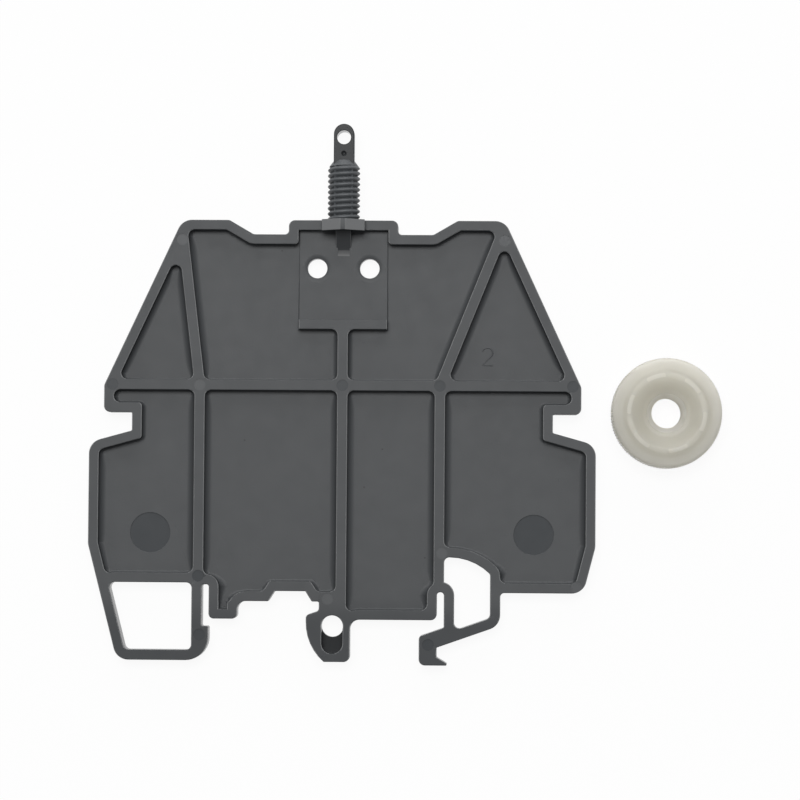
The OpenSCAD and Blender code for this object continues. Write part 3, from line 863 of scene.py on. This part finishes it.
# %% Turn it
KNURL_TEETH = 120
KNURL_DEPTH = 0.14
LIP_PADS = 6
PAD_TURN = math.radians(47)
PAD_ARC = math.radians(15)
PAD_FADE = math.radians(1.2)
columns = 4 * KNURL_TEETH
turn = np.linspace(0, 2 * math.pi, columns, endpoint=False)
tooth = 0.5 + 0.5 * np.cos(KNURL_TEETH * turn)
half_share = math.pi / LIP_PADS
from_pad = np.abs((turn - PAD_TURN + half_share) % (2 * half_share) - half_share)
on_pad = 1 / (1 + np.exp((from_pad - PAD_ARC) / PAD_FADE))


def nut_ring(r, z):
    return np.stack([NUT.x + r * np.cos(turn), NUT.y + r * np.sin(turn), z], axis=-1)


rings = []
for reach, up, knurl, pad in profile:
    rings.append(nut_ring(reach - knurl * KNURL_DEPTH * (1 - tooth), up + pad * PAD_RISE * on_pad))
print("outside of the nut:", len(rings), "rings of", columns, "points")

# %% Thread its bore
BORE_R = mount_sizes["nut_bore"]["r_mm"]
BORE_ROW = 0.05
BORE_TOP = 2.95
BORE_FOOT = 0.33
BITE = 0.17
RUN_OUT = 0.3
for up in np.arange(BORE_TOP, BORE_FOOT - BORE_ROW / 2, -BORE_ROW):
    wave = 0.5 + 0.5 * np.cos(2 * math.pi * (up / PITCH - turn / (2 * math.pi)))
    fade = max(0.0, min(1.0, (BORE_TOP - up) / RUN_OUT, (up - BORE_FOOT) / RUN_OUT))
    rings.append(nut_ring(BORE_R + BITE * fade * wave, np.full(columns, up)))
nut = new_object("nut", mesh_of_rings(np.array(rings), closed=True))
print("nut:", len(rings), "rings in all")

# %% [markdown]
# ## Milky nylon
# Natural nylon lets light in and scatters it, so its shadows are pale and its edges glow. Subsurface
# scattering with a long reach gives that. The colour is a warm grey with slow clouds in it. The lip's
# pads get a paler colour, a painted highlight, and the thin edge around the bore a paler colour still,
# a painted glow of the light that comes through it.

# %% The nylon
NYLON = (0.615, 0.575, 0.46)
# painted highlight: how much paler the pads of the lip are
PAD_HIGHLIGHT_GAIN = 1.18
# painted glow: how much paler the nylon is near the bore, and how far out that reaches
BORE_GLOW_GAIN = 1.5
BORE_GLOW_REACH = 2.9
NYLON_REACH = 30 * MM


def nylon(name, gain, roughness):
    material = moulded(
        name, [gain * c for c in NYLON],
        {"Grain per metre": 3000.0, "Roughness": roughness, "Variation": 0.08},
        {"Amount": 0.06, "Clouds per metre": 260.0},
        bump_strength=0.3, grain_depth=0.02,
    )[0]
    shader = material.node_tree.nodes["Principled BSDF"]
    shader.inputs["Subsurface Weight"].default_value = 1.0
    shader.inputs["Subsurface Radius"].default_value = (1.0, 1.0, 1.0)
    shader.inputs["Subsurface Scale"].default_value = NYLON_REACH
    return material


nut.data.materials.append(nylon("milky_nylon", 1.0, 0.45))
# painted highlight on the pads of the lip
nut.data.materials.append(nylon("rubbed_nylon", PAD_HIGHLIGHT_GAIN, 0.6))
# painted glow at the thin edge around the bore
nut.data.materials.append(nylon("thin_nylon", BORE_GLOW_GAIN, 0.5))
for face in nut.data.polygons:
    from_axis = math.hypot(face.center.x - NUT.x, face.center.y - NUT.y)
    # index 2 is the painted glow near the bore, index 1 the painted highlight on the pads
    face.material_index = 2 if from_axis < BORE_GLOW_REACH else int(face.center.z > CREST_Z + 0.5 * PAD_RISE)
print("paler faces of the nut:", sum(p.material_index > 0 for p in nut.data.polygons))
settle(nut, "knurled_nut", sharp_angle=60)

# %% [markdown]
# ## Floor and light
# The object lies on white paper. The paper is white to the camera and in reflections, and plain
# diffuse paper for everything else, so it keeps the object's soft shadow without adding light. A
# wide softbox hangs high on the stud's side, and a weak panel stands behind it. Straight above, where
# the camera is, it stays dark, so matte plastic looks lighter than polished plastic, as it does in a
# light tent with a hole for the lens.

# %% White paper
FLOOR_HALF = 1.5
PAPER_GAP = 0.02 * MM
PAPER = (0.9, 0.9, 0.9, 1)
WHITE = (1, 1, 1, 1)
WHITE_SHARE = 0.93
floor_work = bmesh.new()
bmesh.ops.create_grid(floor_work, x_segments=1, y_segments=1, size=FLOOR_HALF)
floor = new_object("floor", floor_work)
floor.location.z = -PAPER_GAP
paper = bpy.data.materials.new("paper")
paper.use_nodes = True
floor.data.materials.append(paper)
tree = paper.node_tree
tree.nodes.clear()
rays = put(tree, "LightPath").outputs
seen = put(tree, "Math", {0: rays["Is Camera Ray"], 1: rays["Is Glossy Ray"]}, operation="ADD")
seen = put(tree, "Math", {
    0: seen.outputs[0], 1: rays["Is Transmission Ray"],
}, operation="ADD", use_clamp=True)
share = put(tree, "Math", {0: seen.outputs[0], 1: WHITE_SHARE}, operation="MULTIPLY")
matte = put(tree, "BsdfDiffuse", {"Color": PAPER})
white = put(tree, "Emission", {"Color": WHITE, "Strength": 1.0})
mixed = put(tree, "MixShader", {"Fac": share.outputs[0], 1: matte.outputs[0], 2: white.outputs[0]})
put(tree, "OutputMaterial", {"Surface": mixed.outputs[0]})
print("paper of", 2 * FLOOR_HALF, "m,", WHITE_SHARE, "white to the camera")

# %% Lamps and the tent's own glow
TENT_GLOW = 0.2


def lamp(name, place, size, watts):
    """An area lamp at place that faces the origin."""
    light = bpy.data.lights.new(name, "AREA")
    light.shape = "RECTANGLE"
    light.size, light.size_y = size
    light.energy = watts
    thing = add_object(name, light)
    thing.location = place
    thing.rotation_euler = (-thing.location).to_track_quat("-Z", "Y").to_euler()
    print(name, "of", watts, "W at", round(thing.location.length, 2), "m")


tent = bpy.data.worlds.new("tent")
bpy.context.scene.world = tent
tent.use_nodes = True
glow = tent.node_tree.nodes["Background"].inputs
glow["Color"].default_value = WHITE
glow["Strength"].default_value = TENT_GLOW
lamp("softbox", place=(-0.04, 0.37, 1.14), size=(0.84, 0.48), watts=10.3)
lamp("back_panel", place=(0.0, 1.2, 0.42), size=(1.6, 0.7), watts=8.0)

# %% [markdown]
# ## Camera
# The camera looks almost straight down. It leans a little to the right and towards the feet, which
# shows thin strips of the walls on the other side, as in a photograph taken by hand.

# %% The camera
IMAGE_WIDTH = 117.593 * MM
DISTANCE = 437 * MM
LOOK_AT = Vector((8.458, 2.946, 2.0)) * MM
LEAN_RIGHT = math.radians(1.5)
LEAN_DOWN = math.radians(2.3)
ROLL = math.radians(-0.407)
SENSOR = 36
NEAREST = 0.01
lens = bpy.data.cameras.new("camera")
camera = add_object("camera", lens)
bpy.context.scene.camera = camera
lens.sensor_width = SENSOR
lens.lens = SENSOR * DISTANCE / IMAGE_WIDTH
lens.clip_start = NEAREST
backward = Vector((math.tan(LEAN_RIGHT), -math.tan(LEAN_DOWN), 1)).normalized()
rightward = Vector((math.sin(ROLL), math.cos(ROLL), 0)).cross(backward).normalized()
upward = backward.cross(rightward)
turned = Matrix((rightward, upward, backward)).transposed().to_4x4()
camera.matrix_world = Matrix.Translation(LOOK_AT + DISTANCE * backward) @ turned
bpy.context.scene.view_settings.view_transform = "Standard"
print("lens of", round(lens.lens, 1), "mm at", round(DISTANCE / MM), "mm")
